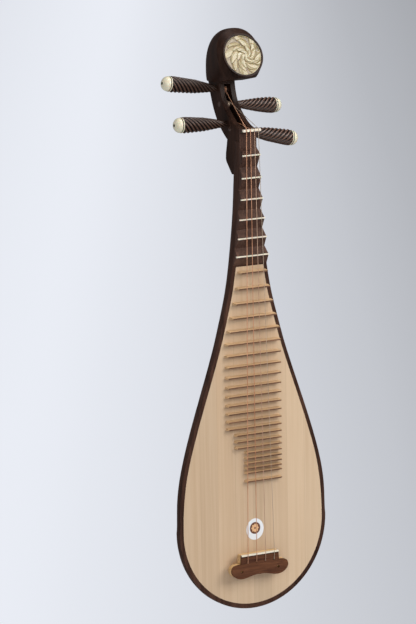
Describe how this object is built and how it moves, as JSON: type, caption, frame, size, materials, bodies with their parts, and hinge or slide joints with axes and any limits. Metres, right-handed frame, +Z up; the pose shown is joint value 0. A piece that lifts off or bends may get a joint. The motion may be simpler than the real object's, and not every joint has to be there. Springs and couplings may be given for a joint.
{
  "type": "pipa (pear-shaped lute)",
  "caption": "Upright pear-shaped plucked lute with a flat soundboard, raised wedge frets and strips, curved pegbox, round carved head and turning side pegs.",
  "frame": {"origin": "centre of the bounding box in plan, at the lowest point of the body", "axes": "+Z up the neck towards the head, -Y the way the soundboard faces, +X to the right for someone facing the soundboard"},
  "size_m": [0.296, 0.1346, 1.0203],
  "materials": {
    "rosewood": "satin oil finish over very dark rosewood",
    "block_rosewood": "satin dark rosewood",
    "bridge_rosewood": "open-grained reddish rosewood",
    "paulownia": "raw, pale, straight-grained",
    "spruce": "raw",
    "bamboo": "smooth bamboo skin",
    "pale_wood": "pale edge of the bridge",
    "carved_bone": "polished carved bone",
    "bone": "polished bone",
    "ebony": "polished black",
    "string": "copper-coloured wound wire",
    "label": "printed label"
  },
  "bodies": {
    "instrument": {"back_shell": "rosewood", "block_edges": "bone", "bridge_body": "pale_wood", "bridge_face": "bridge_rosewood", "bridge_saddle": "bone", "fret_block_1": "block_rosewood", "fret_block_2": "block_rosewood", "fret_block_3": "block_rosewood", "fret_block_4": "block_rosewood", "fret_block_5": "block_rosewood", "fret_block_6": "block_rosewood", "fret_pin_01": "bamboo", "fret_pin_02": "bamboo", "fret_pin_03": "bamboo", "fret_pin_04": "bamboo", "fret_pin_05": "bamboo", "fret_pin_06": "bamboo", "fret_pin_07": "bamboo", "fret_pin_08": "bamboo", "fret_pin_09": "bamboo", "fret_pin_10": "bamboo", "fret_pin_11": "bamboo", "fret_pin_12": "bamboo", "fret_pin_13": "bamboo", "fret_pin_14": "bamboo", "fret_pin_15": "bamboo", "fret_pin_16": "bamboo", "fret_pin_17": "bamboo", "fret_pin_18": "bamboo", "fret_pin_19": "bamboo", "fret_pin_20": "bamboo", "fret_pin_21": "bamboo", "fret_pin_22": "bamboo", "fret_pin_23": "bamboo", "fret_pin_24": "bamboo", "head": "rosewood", "head_medallion": "carved_bone", "inner_bracing": "spruce", "label": "label", "nut": "bone", "nut_base": "block_rosewood", "pegbox": "rosewood", "phoenix_pillow": "rosewood", "soundboard": "paulownia", "string_1": "string", "string_2": "string", "string_3": "string", "string_4": "string"},
    "tuning_peg_1": {"peg_1": "rosewood", "peg_cap_1": "bone", "peg_inlay_1": "ebony"},
    "tuning_peg_2": {"peg_2": "rosewood", "peg_cap_2": "bone", "peg_inlay_2": "ebony"},
    "tuning_peg_3": {"peg_3": "rosewood", "peg_cap_3": "bone", "peg_inlay_3": "ebony"},
    "tuning_peg_4": {"peg_4": "rosewood", "peg_cap_4": "bone", "peg_inlay_4": "ebony"}
  },
  "joints": [
    {"name": "peg_1_turn", "type": "hinge", "parent": "instrument", "child": "tuning_peg_1", "pos_m": [0, 0.03728, 0.91], "axis": [-0.9867, 0, 0.1628], "continuous": true},
    {"name": "peg_2_turn", "type": "hinge", "parent": "instrument", "child": "tuning_peg_2", "pos_m": [0, 0.02778, 0.8855], "axis": [0.9955, 0, -0.0946], "continuous": true},
    {"name": "peg_3_turn", "type": "hinge", "parent": "instrument", "child": "tuning_peg_3", "pos_m": [0, 0.00758, 0.854], "axis": [-0.9988, 0, 0.0499], "continuous": true},
    {"name": "peg_4_turn", "type": "hinge", "parent": "instrument", "child": "tuning_peg_4", "pos_m": [0, -0.00773, 0.845], "axis": [0.9766, 0, -0.2149], "continuous": true}
  ]
}
